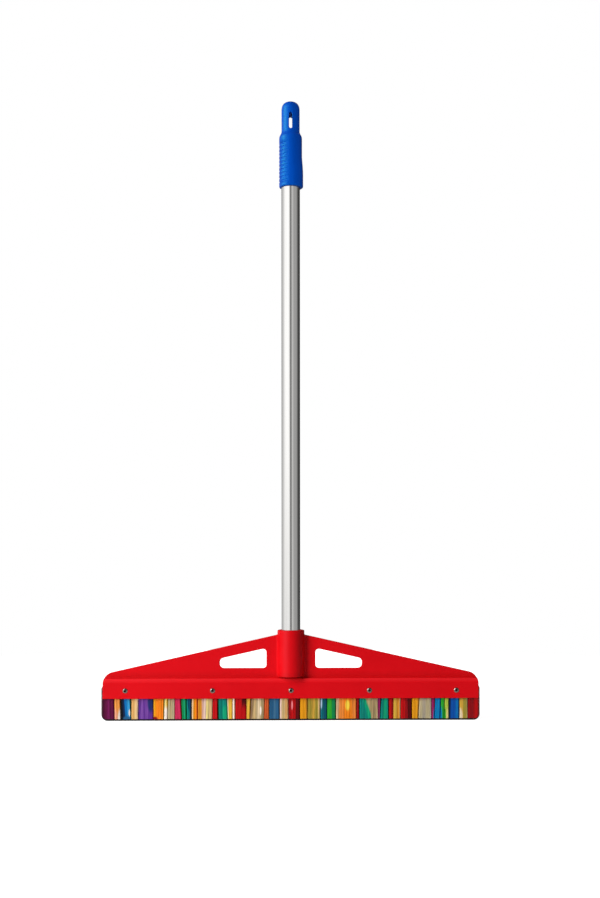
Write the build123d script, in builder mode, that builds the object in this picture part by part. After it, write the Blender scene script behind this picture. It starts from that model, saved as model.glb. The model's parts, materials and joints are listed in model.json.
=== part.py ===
from build123d import *
import os

# Floor squeegee: a moulded head with a rubber blade and a row of soft strips in front of it,
# on a tube handle that screws into the head's socket.
# Millimetres, +Z up, the front faces -Y. The origin lies on the floor under the handle's axis.

# Rubber blade
blade_width = 610.0
blade_height = 56.0
blade_thickness = 3.5
blade_foot_radius = 10.0
blade_head_radius = 5.0

# Strips in front of the blade
strip_thickness = 4.5
strip_edge_thickness = 2.0
strip_floor_gap = 3.3
strip_end_margin = 1.2
strip_top_margin = 1.0
strip_gap = 0.25
strip_fold_width = 5.5
strip_foot_radius = 8.0

# Head: plate, front band and the ledge between them
head_end_inset = 3.0
plate_thickness = 4.0
band_wall = 4.0
band_lift = 36.2
band_height = 25.6
ledge_height = 6.5
ledge_lean = 1.8
ledge_root_radius = 2.3
roof_clearance = 0.5
edge_radius = 1.0
rim_radius = 0.8

# Head: wings and windows
wing_peak = 143.2
wing_end_height = 75.0
wing_corner_radius = 18.0
window_inner = 39.5
window_length = 75.0
window_sill = 16.2
window_rail = 17.6
window_inner_radius = 5.5
window_outer_radius = 7.0

# Head: socket for the handle
socket_step = 3.0
socket_height = 74.5
socket_radius = 21.7
socket_lip_radius = 1.8
socket_root_radius = 2.0
mouth_depth = 13.0
mouth_clearance = 0.35
thread_radius = 9.5
thread_length = 26.0
thread_clearance = 0.3
thread_end_room = 3.0

# Rear clamp bar
bar_thickness = 3.0
bar_end_inset = 3.0
bar_top_inset = 1.5
bar_corner_radius = 5.0

# Blind rivets
rivet_top_margin = 6.8
rivet_inner_spacing = 126.0
rivet_end_margin = 36.0
rivet_radius = 2.4
rivet_clearance = 0.1
rivet_head_radius = 4.1
rivet_head_height = 1.5
rivet_tail_radius = 3.6
rivet_tail_height = 3.0
mandrel_radius = 1.45
mandrel_sink = 1.0

# Handle: washer, ferrule and tube
washer_thickness = 1.5
tube_radius = 15.0
tube_wall = 0.8
tube_length = 800.0
ferrule_flange = 3.0
ferrule_plug_length = 45.0
ferrule_clearance = 0.05
ferrule_chamfer = 1.5

# Handle: grip
grip_cover = 79.0
grip_radius = 18.4
grip_clearance = 0.05
grip_rim_radius = 2.4
shoulder_height = 12.0
tip_radius = 14.6
tip_height = 47.6
tip_dome = 13.5
swell_shift = 1.8
swell_rise = 18.0
swell_margin = 8.0
swell_sink = 1.0
rib_count = 10
rib_pitch = 6.0
rib_depth = 0.9
rib_groove_radius = 1.6
rib_start = 9.2
rib_fade = 4.5
slot_width = 5.4
slot_height = 25.6
slot_top_margin = 20.4
slot_rim_radius = 0.6

# The row of strips from left to right: colour, width under the band and how far the strip's
# right edge leans to the right on its way down. The row is spread over the blade's width.
strips = [
    ("plum", 19.5, 0.8),
    ("apricot", 9.5, 1.4),
    ("blue", 18.0, 0.0),
    ("tan", 12.0, -0.6),
    ("violet", 23.5, 0.0),
    ("orange", 18.0, -1.2),
    ("cream", 5.5, -0.4),
    ("sage", 11.0, 0.0),
    ("crimson", 8.7, 2.7),
    ("green", 9.3, 1.0),
    ("navy", 8.7, 0.0),
    ("orange", 10.0, 0.0),
    ("ochre", 7.5, -5.0),
    ("blush", 17.0, -1.0),
    ("red", 7.2, 0.6),
    ("teal", 14.0, 2.2),
    ("yellow", 9.8, 0.0),
    ("cream", 4.5, 0.0),
    ("maroon", 17.7, 0.0),
    ("gold", 7.7, -1.6),
    ("khaki", 22.0, -1.3),
    ("rust", 7.0, 0.0),
    ("steel_blue", 16.8, 0.0),
    ("sand", 14.0, 0.0),
    ("crimson", 18.5, 0.0),
    ("amber", 12.0, 0.0),
    ("olive", 20.8, 0.0),
    ("teal", 10.8, 0.0),
    ("green", 14.2, 0.0),
    ("orange", 33.0, 0.0),
    ("maroon", 4.8, 0.0),
    ("emerald", 14.7, 5.2),
    ("taupe", 15.0, 0.8),
    ("magenta", 6.5, -3.0),
    ("teal", 11.0, 0.0),
    ("red", 7.2, 0.0),
    ("gold", 12.0, 0.0),
    ("maroon", 18.0, 0.0),
    ("amber", 13.0, -2.8),
    ("grey", 18.5, 0.0),
    ("magenta", 5.6, 0.0),
    ("cerulean", 10.3, -1.8),
    ("green", 6.0, -1.4),
    ("lime", 6.0, 0.0),
    ("royal_blue", 17.0, 0.0),
    ("gold", 13.7, 0.0),
    ("maroon", 18.4, 0.0),
]

# Heights above the floor
band_top = band_lift + band_height
ledge_top = band_top + ledge_height
clamp_roof = blade_height + roof_clearance
strip_top = blade_height - strip_top_margin
rivet_height = blade_height - rivet_top_margin
socket_base = ledge_top + socket_step
socket_top = socket_base + socket_height
mouth_floor = socket_top - mouth_depth
flange_bottom = mouth_floor + washer_thickness
tube_bottom = flange_bottom + ferrule_flange
tube_top = tube_bottom + tube_length
thread_bottom = mouth_floor - thread_length
thread_hole_bottom = thread_bottom - thread_end_room
grip_bottom = tube_top - grip_cover
tip_bottom = tube_top + shoulder_height
grip_top = tip_bottom + tip_height

# Depths: the blade's back is flush with the plate's back, and the bar closes both
plate_back = plate_thickness / 2
plate_front = -plate_back
blade_front = plate_back - blade_thickness
strip_front = blade_front - strip_thickness
band_front = strip_front - band_wall
bar_back = plate_back + bar_thickness

# Half widths, radii and the rivets' places
blade_half = blade_width / 2
head_half = blade_half - head_end_inset
fringe_half = blade_half - strip_end_margin
bar_half = head_half - bar_end_inset
window_outer = window_inner + window_length
mouth_radius = tube_radius + mouth_clearance
thread_hole_radius = thread_radius + thread_clearance
rivet_outer = head_half - rivet_end_margin
rivet_places = [
    (x, rivet_height)
    for x in (-rivet_outer, -rivet_inner_spacing, 0, rivet_inner_spacing, rivet_outer)
]
through = 4 * (band_wall + strip_thickness + blade_thickness + bar_thickness)


def wing_edge(x):
    """Height of the wings' sloping upper edge at a distance from the handle's axis."""
    return wing_peak + (wing_end_height - wing_peak) * abs(x) / head_half


def rivet_row(radius):
    """Make the five round bars that cut or fill the rivets' holes, right through the head."""
    with BuildPart() as bars:
        with BuildSketch(Plane.XZ):
            with Locations(*rivet_places):
                Circle(radius)
        extrude(amount=through, both=True)
    return bars.part


rivet_holes = rivet_row(rivet_radius + rivet_clearance)

# Head: one moulding of plate, ledge, front band and socket
with BuildPart() as head_frame:
    with BuildSketch(Plane.YZ):
        with BuildLine():
            FilletPolyline(
                (plate_back, clamp_roof),
                (strip_front, clamp_roof),
                (strip_front, band_lift),
                (band_front, band_lift),
                (band_front, band_top),
                (band_front + ledge_lean, ledge_top),
                (plate_front, ledge_top),
                (plate_front, wing_peak),
                (plate_back, wing_peak),
                radius=[
                    0,
                    0,
                    edge_radius,
                    edge_radius,
                    edge_radius,
                    edge_radius,
                    ledge_root_radius,
                    0,
                    0,
                ],
                close=True,
            )
        make_face()
    extrude(amount=head_half, both=True)
    # Wings that fall away from the socket to rounded ends
    with BuildSketch(Plane.XZ):
        with BuildLine():
            FilletPolyline(
                (-head_half, band_lift),
                (head_half, band_lift),
                (head_half, wing_end_height),
                (0, wing_peak),
                (-head_half, wing_end_height),
                radius=[0, 0, wing_corner_radius, 0, wing_corner_radius],
                close=True,
            )
        make_face()
    extrude(amount=through, both=True, mode=Mode.INTERSECT)
    rims = head_frame.edges().filter_by_position(Axis.Z, socket_base, wing_peak)
    fillet(rims.filter_by(Axis.Y, reverse=True), rim_radius)
    # Socket: the root fillets run up both flanks and over the rims
    with Locations((0, 0, socket_base)):
        Cylinder(
            socket_radius,
            socket_height,
            rotation=(0, 0, 90),
            align=(Align.CENTER, Align.CENTER, Align.MIN),
        )
    flanks = head_frame.edges().filter_by(Axis.Z)
    flanks = flanks.filter_by_position(Axis.X, -socket_radius, socket_radius)
    fillet(flanks.filter_by_position(Axis.Y, plate_front, plate_back), socket_root_radius)
    fillet(head_frame.edges().group_by(Axis.Z)[-1], socket_lip_radius)
    # Windows, their upper edges parallel to the wings' edges
    with BuildSketch(Plane.XZ):
        with BuildLine():
            FilletPolyline(
                (window_inner, ledge_top + window_sill),
                (window_outer, ledge_top + window_sill),
                (window_outer, wing_edge(window_outer) - window_rail),
                (window_inner, wing_edge(window_inner) - window_rail),
                radius=[
                    window_inner_radius,
                    window_outer_radius,
                    window_outer_radius,
                    window_inner_radius,
                ],
                close=True,
            )
        make_face()
        mirror(about=Plane.YZ)
    extrude(amount=through, both=True, mode=Mode.SUBTRACT)
    fillet(head_frame.edges(Select.LAST).filter_by(Axis.Y, reverse=True), rim_radius)
    # Mouth for the tube and hole for the thread
    with BuildSketch(Plane.XZ):
        with BuildLine():
            Polyline(
                (0, thread_hole_bottom),
                (thread_hole_radius, thread_hole_bottom),
                (thread_hole_radius, mouth_floor),
                (mouth_radius, mouth_floor),
                (mouth_radius, socket_top),
                (0, socket_top),
                close=True,
            )
        make_face()
    revolve(axis=Axis.Z, mode=Mode.SUBTRACT)
    add(rivet_holes, mode=Mode.SUBTRACT)
head_frame.part.label = "head_frame"

# Rear clamp bar: flat steel that takes the rivets' pull
with BuildPart() as rear_clamp_bar:
    with BuildSketch(Plane.XZ.offset(-plate_back)):
        with Locations((0, (band_lift + ledge_top - bar_top_inset) / 2)):
            RectangleRounded(2 * bar_half, ledge_top - bar_top_inset - band_lift, bar_corner_radius)
    extrude(amount=-bar_thickness)
    add(rivet_holes, mode=Mode.SUBTRACT)
rear_clamp_bar.part.label = "rear_clamp_bar"

# Rubber blade: a flat sheet with rounded corners
with BuildPart() as rubber_blade:
    with BuildSketch(Plane.XZ.offset(-plate_back)):
        with BuildLine():
            FilletPolyline(
                (-blade_half, 0),
                (blade_half, 0),
                (blade_half, blade_height),
                (-blade_half, blade_height),
                radius=[blade_foot_radius, blade_foot_radius, blade_head_radius, blade_head_radius],
                close=True,
            )
        make_face()
    extrude(amount=blade_thickness)
    add(rivet_holes, mode=Mode.SUBTRACT)
rubber_blade.part.label = "rubber_blade"


def build_strip(head_edges, foot_edges):
    """Extrude one strip, flat behind and pleated in front, and trim it to its edges and the row."""
    left = min(head_edges[0], foot_edges[0]) - strip_gap
    right = max(head_edges[1], foot_edges[1]) + strip_gap
    folds = max(1, round((right - left) / strip_fold_width))
    step = (left - right) / folds
    edge = blade_front - strip_edge_thickness
    with BuildPart() as strip:
        with BuildSketch(Plane.XY.offset(strip_floor_gap)):
            with BuildLine():
                Polyline((left, edge), (left, blade_front), (right, blade_front), (right, edge))
                for fold in range(folds):
                    start = right + fold * step
                    Polyline(
                        (start, edge),
                        (start + step / 4, strip_front),
                        (start + 3 * step / 4, strip_front),
                        (start + step, edge),
                    )
            make_face()
        extrude(amount=strip_top - strip_floor_gap)
        with BuildSketch(Plane.XZ):
            with BuildLine():
                FilletPolyline(
                    (-fringe_half, strip_floor_gap),
                    (fringe_half, strip_floor_gap),
                    (fringe_half, strip_top),
                    (-fringe_half, strip_top),
                    radius=[strip_foot_radius, strip_foot_radius, 0, 0],
                    close=True,
                )
            make_face()
            with BuildLine():
                Polyline(
                    (head_edges[0], strip_top),
                    (head_edges[1], strip_top),
                    (foot_edges[1], strip_floor_gap),
                    (foot_edges[0], strip_floor_gap),
                    close=True,
                )
            make_face(mode=Mode.INTERSECT)
        extrude(amount=through, both=True, mode=Mode.INTERSECT)
        add(rivet_holes, mode=Mode.SUBTRACT)
    return strip


# Strips: each edge is shared by two neighbours, half of the gap to either side
spread = 2 * fringe_half / sum(width for _, width, _ in strips)
strip_parts = []
head_left = foot_left = -fringe_half
for number, (colour, width, lean) in enumerate(strips, start=1):
    head_right = head_left + width * spread
    foot_right = head_right + lean * spread
    strip = build_strip(
        (head_left + strip_gap / 2, head_right - strip_gap / 2),
        (foot_left + strip_gap / 2, foot_right - strip_gap / 2),
    )
    strip.part.label = f"strip_{number:02d}_{colour}"
    strip_parts.append(strip.part)
    head_left = head_right
    foot_left = foot_right

# Blind rivets: low heads on the band, upset tails behind the bar, a mandrel bore through each
with BuildPart() as blade_rivets:
    with BuildSketch(Plane.XZ.offset(-band_front)):
        with Locations(*rivet_places):
            Circle(rivet_head_radius)
    extrude(amount=rivet_head_height)
    fillet(blade_rivets.faces().sort_by(Axis.Y)[:5].edges(), rivet_head_height / 2)
    with BuildSketch(Plane.XZ.offset(-band_front)):
        with Locations(*rivet_places):
            Circle(rivet_radius)
    extrude(amount=band_front - bar_back)
    with BuildSketch(Plane.XZ.offset(-bar_back)):
        with Locations(*rivet_places):
            Circle(rivet_tail_radius)
    extrude(amount=-rivet_tail_height)
    fillet(blade_rivets.faces().sort_by(Axis.Y)[-5:].edges(), rivet_tail_height / 3)
    add(rivet_row(mandrel_radius), mode=Mode.SUBTRACT)
blade_rivets.part.label = "blade_rivets"

# Mandrels: the broken pins left inside the rivets, just below the heads
with BuildPart() as rivet_mandrels:
    with BuildSketch(Plane.XZ.offset(-(band_front - rivet_head_height + mandrel_sink))):
        with Locations(*rivet_places):
            Circle(mandrel_radius)
    extrude(amount=band_front - rivet_head_height + mandrel_sink - bar_back - rivet_tail_height)
rivet_mandrels.part.label = "rivet_mandrels"

# Washer under the ferrule's flange
with BuildPart() as thrust_washer:
    with BuildSketch(Plane.XY.offset(mouth_floor)):
        Circle(tube_radius)
        Circle(thread_hole_radius, mode=Mode.SUBTRACT)
    extrude(amount=washer_thickness)
thrust_washer.part.label = "thrust_washer"

# Ferrule: thread below the flange, plug inside the tube above it
with BuildPart() as threaded_ferrule:
    with BuildSketch(Plane.XZ):
        with BuildLine():
            plug_radius = tube_radius - tube_wall - ferrule_clearance
            Polyline(
                (0, thread_bottom),
                (thread_radius - ferrule_chamfer, thread_bottom),
                (thread_radius, thread_bottom + ferrule_chamfer),
                (thread_radius, flange_bottom),
                (tube_radius, flange_bottom),
                (tube_radius, tube_bottom),
                (plug_radius, tube_bottom),
                (plug_radius, tube_bottom + ferrule_plug_length - ferrule_chamfer),
                (plug_radius - ferrule_chamfer, tube_bottom + ferrule_plug_length),
                (0, tube_bottom + ferrule_plug_length),
                close=True,
            )
        make_face()
    revolve(axis=Axis.Z)
threaded_ferrule.part.label = "threaded_ferrule"

# Tube
with BuildPart() as handle_tube:
    with BuildSketch(Plane.XY.offset(tube_bottom)):
        Circle(tube_radius)
        Circle(tube_radius - tube_wall, mode=Mode.SUBTRACT)
    extrude(amount=tube_length)
handle_tube.part.label = "handle_tube"

# Grip: sleeve, shoulder and domed tip, with a palm swell on one side and ribs on the other
with BuildPart() as grip:
    with BuildSketch(Plane.XZ):
        with BuildLine():
            sleeve = FilletPolyline(
                (0, grip_bottom),
                (grip_radius, grip_bottom),
                (grip_radius, tube_top),
                radius=[grip_rim_radius],
            )
            shoulder = Spline(sleeve @ 1, (tip_radius, tip_bottom), tangents=((0, 1), (0, 1)))
            side = Line(shoulder @ 1, (tip_radius, grip_top - tip_dome))
            dome = Spline(side @ 1, (0, grip_top), tangents=((0, 1), (-1, 0)))
            Line(dome @ 1, (0, grip_bottom))
        make_face()
    revolve(axis=Axis.Z)
    # Palm swell: a barrel about an axis that is shifted to one side, widest near the rim
    with BuildSketch(Plane.XZ):
        with BuildLine():
            foot = FilletPolyline(
                (swell_shift, grip_bottom),
                (grip_radius + swell_shift, grip_bottom),
                (grip_radius + swell_shift, grip_bottom + swell_rise),
                radius=[grip_rim_radius],
            )
            flank = Spline(
                foot @ 1,
                (grip_radius - swell_sink, tube_top - swell_margin),
                tangents=((0, 1), (0, 1)),
            )
            Polyline(flank @ 1, (swell_shift, tube_top - swell_margin), foot @ 0)
        make_face()
    revolve(axis=Axis((swell_shift, 0, 0), (0, 0, 1)))
    # Rib grooves: rings about an axis shifted the other way, so that they fade out at the front
    groove_core = grip_radius - rib_depth
    groove_shift = (grip_radius**2 - groove_core**2) / (2 * (groove_core - rib_fade))
    groove_radius = groove_core + groove_shift
    with Locations(
        *[(groove_shift, 0, grip_bottom + rib_start + n * rib_pitch) for n in range(rib_count + 1)]
    ):
        Torus(groove_radius + rib_groove_radius, rib_groove_radius, mode=Mode.SUBTRACT)
    # Bore for the tube and hanging slot through the tip
    with BuildSketch(Plane.XY.offset(grip_bottom)):
        Circle(tube_radius + grip_clearance)
    extrude(amount=grip_cover, mode=Mode.SUBTRACT)
    with BuildSketch(Plane.XZ):
        with Locations((0, grip_top - slot_top_margin - slot_height / 2)):
            SlotOverall(slot_height, slot_width, rotation=90)
    extrude(amount=grip_radius, both=True, mode=Mode.SUBTRACT)
    fillet(grip.edges(Select.LAST).filter_by(Axis.Y, reverse=True), slot_rim_radius)
grip.part.label = "grip"

os.makedirs("parts", exist_ok=True)
for piece in (
    head_frame.part,
    rear_clamp_bar.part,
    rubber_blade.part,
    *strip_parts,
    blade_rivets.part,
    rivet_mandrels.part,
    thrust_washer.part,
    threaded_ferrule.part,
    handle_tube.part,
    grip.part,
):
    export_step(piece, f"parts/{piece.label}.step")
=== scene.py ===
"""Looks of the floor squeegee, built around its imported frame.

Metres, +Z up, the front faces -Y. The frame gives every place and size. The classes below dress its
nodes, or model a fuller piece where a node is soft, turned or threaded.
"""

from __future__ import annotations

import json
import logging
import math
import random
from collections.abc import Callable, Iterator, Sequence
from contextlib import contextmanager
from dataclasses import dataclass
from enum import Enum
from itertools import pairwise

import bmesh
import bpy
from bpy.types import Material, Node, NodeSocket, NodeTree, Object, Scene
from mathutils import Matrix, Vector

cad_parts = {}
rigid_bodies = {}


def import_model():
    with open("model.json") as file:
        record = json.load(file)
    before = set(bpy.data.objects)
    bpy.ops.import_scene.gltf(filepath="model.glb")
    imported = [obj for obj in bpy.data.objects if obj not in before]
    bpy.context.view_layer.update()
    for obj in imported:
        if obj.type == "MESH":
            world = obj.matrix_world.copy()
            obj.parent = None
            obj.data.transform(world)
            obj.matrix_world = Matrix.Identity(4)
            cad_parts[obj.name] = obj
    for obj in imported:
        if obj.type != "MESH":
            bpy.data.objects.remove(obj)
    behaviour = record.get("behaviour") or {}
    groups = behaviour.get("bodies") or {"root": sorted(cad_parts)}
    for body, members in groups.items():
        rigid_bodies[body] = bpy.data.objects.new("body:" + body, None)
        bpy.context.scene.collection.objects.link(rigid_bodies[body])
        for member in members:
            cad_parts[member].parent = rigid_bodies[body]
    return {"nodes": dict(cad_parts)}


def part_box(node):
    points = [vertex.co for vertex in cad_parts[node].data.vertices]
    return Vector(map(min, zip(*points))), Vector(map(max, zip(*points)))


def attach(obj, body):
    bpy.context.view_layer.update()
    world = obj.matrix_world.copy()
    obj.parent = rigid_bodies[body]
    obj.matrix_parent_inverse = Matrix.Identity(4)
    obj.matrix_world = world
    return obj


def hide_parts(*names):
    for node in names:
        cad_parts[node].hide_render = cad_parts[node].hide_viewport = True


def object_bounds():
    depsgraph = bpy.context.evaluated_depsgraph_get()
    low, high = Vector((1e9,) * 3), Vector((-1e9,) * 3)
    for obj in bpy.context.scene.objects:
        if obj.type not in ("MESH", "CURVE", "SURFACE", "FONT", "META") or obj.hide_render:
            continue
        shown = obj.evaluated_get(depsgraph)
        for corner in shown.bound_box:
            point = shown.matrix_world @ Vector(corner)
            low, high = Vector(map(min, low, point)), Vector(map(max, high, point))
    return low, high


for leftover in list(bpy.data.objects):
    bpy.data.objects.remove(leftover)
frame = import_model()
cad_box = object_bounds()

MM = 0.001
UPRIGHT = (math.pi / 2, 0, 0)
log = logging.getLogger("squeegee")

Place = tuple[float, float, float]
Colour = tuple[float, float, float, float]


def linear(code: str) -> Colour:
    """Turn an sRGB colour into linear light.

    Args:
        code: The colour as a hex value, such as "#c8102e".

    Returns:
        Red, green, blue and alpha.
    """
    shares = [int(code[i : i + 2], 16) / 255 for i in (1, 3, 5)]
    red, green, blue = ((s / 12.92 if s <= 0.04045 else ((s + 0.055) / 1.055) ** 2.4) for s in shares)
    return red, green, blue, 1.0


def grey(level: float) -> Colour:
    """Give an opaque grey of one linear level."""
    return level, level, level, 1.0


def add_node(
    tree: NodeTree,
    kind: str,
    inputs: dict[str | int, object] | None = None,
    stops: Sequence[tuple[float, Colour]] = (),
    **settings: object,
) -> Node:
    """Add one node with its settings and links.

    Args:
        tree: The node tree that gets the node.
        kind: The node's type without the prefix ShaderNode.
        inputs: For each input, by name or number, a value or what it is linked to: an output of
            another node, or a node, which stands for its first output in use.
        stops: Places and colours of a colour ramp.
        **settings: Properties of the node.

    Returns:
        The new node.
    """
    node = tree.nodes.new("ShaderNode" + kind)
    for key, value in settings.items():
        setattr(node, key, value)
    for key, value in (inputs or {}).items():
        if isinstance(value, Node):
            value = next(output for output in value.outputs if output.enabled)
        if isinstance(value, NodeSocket):
            tree.links.new(value, node.inputs[key])
        else:
            node.inputs[key].default_value = value
    for number, (place, colour) in enumerate(stops):
        elements = node.color_ramp.elements
        element = elements[number] if number < len(elements) else elements.new(place)
        element.position = place
        element.color = colour
    return node


def new_material(name: str) -> tuple[Material, NodeTree]:
    """Make a material without nodes.

    Args:
        name: The material's name.

    Returns:
        The material and its node tree.
    """
    material = bpy.data.materials.new(name)
    material.use_nodes = True
    material.node_tree.nodes.clear()
    return material, material.node_tree


def dress(piece: Object, material: Material) -> None:
    """Give a piece one material all over."""
    piece.data.materials.clear()
    piece.data.materials.append(material)


@dataclass(frozen=True)
class PaintedLight:
    """Painted highlight or painted shade along the front of a moulding: its colour and its heights.

    It begins at the first height, is full from the second to the third, and ends at the fourth. It
    fades in between the two depths.
    """

    colour: str
    heights_mm: tuple[float, float, float, float]
    depths_mm: tuple[float, float] = (-0.5, -1.5)

    def over(self, tree: NodeTree, place: NodeSocket, colour: Node) -> Node:
        """Lay the painted line over a moulding's colour.

        Args:
            tree: The material's node tree.
            place: The Object coordinates.
            colour: The colour under the line.

        Returns:
            The colour with the line.
        """
        start, full, fade, end = (height * MM for height in self.heights_mm)
        near, far = (depth * MM for depth in self.depths_mm)
        parts = add_node(tree, "SeparateXYZ", {"Vector": place}).outputs
        share = add_node(tree, "MapRange", {"Value": parts["Z"], "From Min": start, "From Max": end})
        line = add_node(
            tree,
            "ValToRGB",
            {"Fac": share},
            [
                ((height - start) / (end - start), grey(level))
                for height, level in ((start, 0.0), (full, 1.0), (fade, 1.0), (end, 0.0))
            ],
        )
        front = add_node(tree, "MapRange", {"Value": parts["Y"], "From Min": near, "From Max": far})
        factor = add_node(tree, "Math", {0: line, 1: front}, operation="MULTIPLY")
        # The line's colour is painted light: a highlight or a shade
        mixed = {"Factor": factor, "A": colour, "B": linear(self.colour)}
        return add_node(tree, "Mix", mixed, data_type="RGBA")


@dataclass(frozen=True)
class MouldedPlastic:
    """Injection-moulded polypropylene: an even glossy skin with a faint flow cloud and pebble."""

    name: str
    colour: str
    cloud: str
    sheen_tint: str
    roughness: float = 0.34
    shine: float = 0.3
    cloud_mm: float = 90.0
    # The pebble of a mould is finer than the render shows, so it is drawn coarser
    pebble_mm: float = 1.6
    # Lines of painted highlight and painted shade laid over the colour
    painted_light: tuple[PaintedLight, ...] = ()

    def material(self) -> Material:
        """Build the node material.

        Returns:
            The material.
        """
        material, tree = new_material(self.name)
        place = add_node(tree, "TexCoord").outputs["Object"]
        cloud, pebble = (
            add_node(tree, "TexNoise", {"Vector": place, "Scale": 1 / (size * MM), "Detail": detail})
            for size, detail in ((self.cloud_mm, 3.0), (self.pebble_mm, 2.0))
        )
        tones = ((0.35, linear(self.cloud)), (0.65, linear(self.colour)))
        colour = add_node(tree, "ValToRGB", {"Fac": cloud}, tones)
        for line in self.painted_light:
            colour = line.over(tree, place, colour)
        gloss = {"Value": cloud, "To Min": self.roughness - 0.04, "To Max": self.roughness + 0.05}
        relief = {"Height": pebble, "Strength": 0.12, "Distance": 0.06 * MM}
        skin = {
            "Base Color": colour,
            "Roughness": add_node(tree, "MapRange", gloss),
            "Normal": add_node(tree, "Bump", relief),
            "IOR": 1.49,
            "Specular IOR Level": self.shine,
            "Specular Tint": linear(self.sheen_tint),
        }
        add_node(tree, "OutputMaterial", {"Surface": add_node(tree, "BsdfPrincipled", skin)})
        return material


@dataclass(frozen=True)
class WorkedMetal:
    """Bare or plated metal: fine lines along one axis from drawing, turning or polishing."""

    name: str
    colour: str
    shade: str
    roughness: float
    # Such lines are finer than the render shows, so they are drawn wider
    line_mm: Place
    line_depth_mm: float = 0.01

    def material(self) -> Material:
        """Build the node material.

        Returns:
            The material.
        """
        material, tree = new_material(self.name)
        place = add_node(tree, "TexCoord").outputs["Object"]
        fineness = tuple(1 / (size * MM) for size in self.line_mm)
        stretch = add_node(tree, "Mapping", {"Vector": place, "Scale": fineness})
        lines = add_node(tree, "TexNoise", {"Vector": stretch, "Scale": 1.0, "Detail": 4.0})
        tones = ((0.3, linear(self.shade)), (0.7, linear(self.colour)))
        gloss = {"Value": lines, "To Min": self.roughness * 0.8, "To Max": self.roughness * 1.25}
        relief = {"Height": lines, "Strength": 0.25, "Distance": self.line_depth_mm * MM}
        skin = {
            "Base Color": add_node(tree, "ValToRGB", {"Fac": lines}, tones),
            "Roughness": add_node(tree, "MapRange", gloss),
            "Normal": add_node(tree, "Bump", relief),
            "Metallic": 1.0,
        }
        add_node(tree, "OutputMaterial", {"Surface": add_node(tree, "BsdfPrincipled", skin)})
        return material


@dataclass(frozen=True)
class SheetRubber:
    """Calendered black rubber: a dull skin with a dusty bloom and a fine cloth-like grain."""

    name: str = "sheet_rubber"
    colour: str = "#0e0a09"
    bloom: str = "#1d1716"
    roughness: float = 0.5
    shine: float = 0.2
    bloom_mm: float = 14.0
    # The cloth's weave is about half of this, and is drawn coarser so that it shows
    grain_mm: float = 0.8

    def material(self) -> Material:
        """Build the node material.

        Returns:
            The material.
        """
        material, tree = new_material(self.name)
        place = add_node(tree, "TexCoord").outputs["Object"]
        bloom, grain = (
            add_node(tree, "TexNoise", {"Vector": place, "Scale": 1 / (size * MM), "Detail": detail})
            for size, detail in ((self.bloom_mm, 5.0), (self.grain_mm, 2.0))
        )
        tones = ((0.4, linear(self.colour)), (0.75, linear(self.bloom)))
        relief = {"Height": grain, "Strength": 0.3, "Distance": 0.05 * MM}
        skin = {
            "Base Color": add_node(tree, "ValToRGB", {"Fac": bloom}, tones),
            "Normal": add_node(tree, "Bump", relief),
            "Roughness": self.roughness,
            "IOR": 1.52,
            "Specular IOR Level": self.shine,
        }
        add_node(tree, "OutputMaterial", {"Surface": add_node(tree, "BsdfPrincipled", skin)})
        return material


class Dye(Enum):
    """Colours of the strips. Pink, lavender and sun serve only as painted highlights."""

    PLUM = "#5e0c3c"
    MAUVE = "#7a1a5a"
    AUBERGINE = "#3c0420"
    APRICOT = "#f5a04a"
    IVORY = "#fdf3e6"
    SALMON = "#f0a583"
    NAVY = "#0c2448"
    BLUE = "#0a72bc"
    CYAN = "#3aa8e4"
    PINE = "#0a4a28"
    TAN = "#e6b068"
    WHEAT = "#efcb8c"
    VIOLET = "#66359a"
    LILAC = "#8a58b4"
    INDIGO = "#23306e"
    ORANGE = "#fb8a1a"
    OLIVE = "#a8983a"
    LEMON = "#f7e68c"
    SAGE = "#c3b68e"
    BLUSH = "#f3d2c4"
    ROSE = "#e2b09a"
    CRIMSON = "#cc2c56"
    GREEN = "#108a4c"
    PETROL = "#06506e"
    INK = "#070c14"
    RUST = "#cf5a2a"
    OCHRE = "#d8922c"
    RED = "#c40e12"
    MAROON = "#5c0208"
    TEAL = "#068a7c"
    EMERALD = "#0ea878"
    YELLOW = "#f4c444"
    CREAM = "#f8e2ba"
    GOLD = "#dcae42"
    KHAKI = "#bba676"
    STEEL = "#28608a"
    SLATE = "#4a7ca0"
    SAND = "#dabb82"
    PINK = "#f08a90"
    AMBER = "#eea21a"
    PEACH = "#fad2a2"
    LAVENDER = "#9cbcd4"
    LAGOON = "#0a6a78"
    SUN = "#ffdc48"
    TANGERINE = "#f5903c"
    TAUPE = "#96785a"
    MAGENTA = "#9c2064"
    GREY = "#b4aa98"
    CERULEAN = "#0484c0"
    LEAF = "#30b030"
    LIME = "#c0d850"
    ROYAL = "#0a58b8"
    WINE = "#960a14"


@dataclass(frozen=True)
class Patch:
    """A soft spot of dye or painted highlight: its middle and reach, in shares of the strip's sides.
    """

    dye: Dye
    middle: tuple[float, float]
    reach: tuple[float, float]


@dataclass(frozen=True)
class StripLook:
    """How the dyes lie on one strip: each band's dye and the share of the width where it begins.

    The skew leans the bands' borders, to the left towards the strip's foot. The streak is how strong
    the darker drawn lines are.
    """

    bands: tuple[tuple[Dye, float], ...]
    skew: float = 0.0
    streak: float = 0.5
    patches: tuple[Patch, ...] = ()


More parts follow.
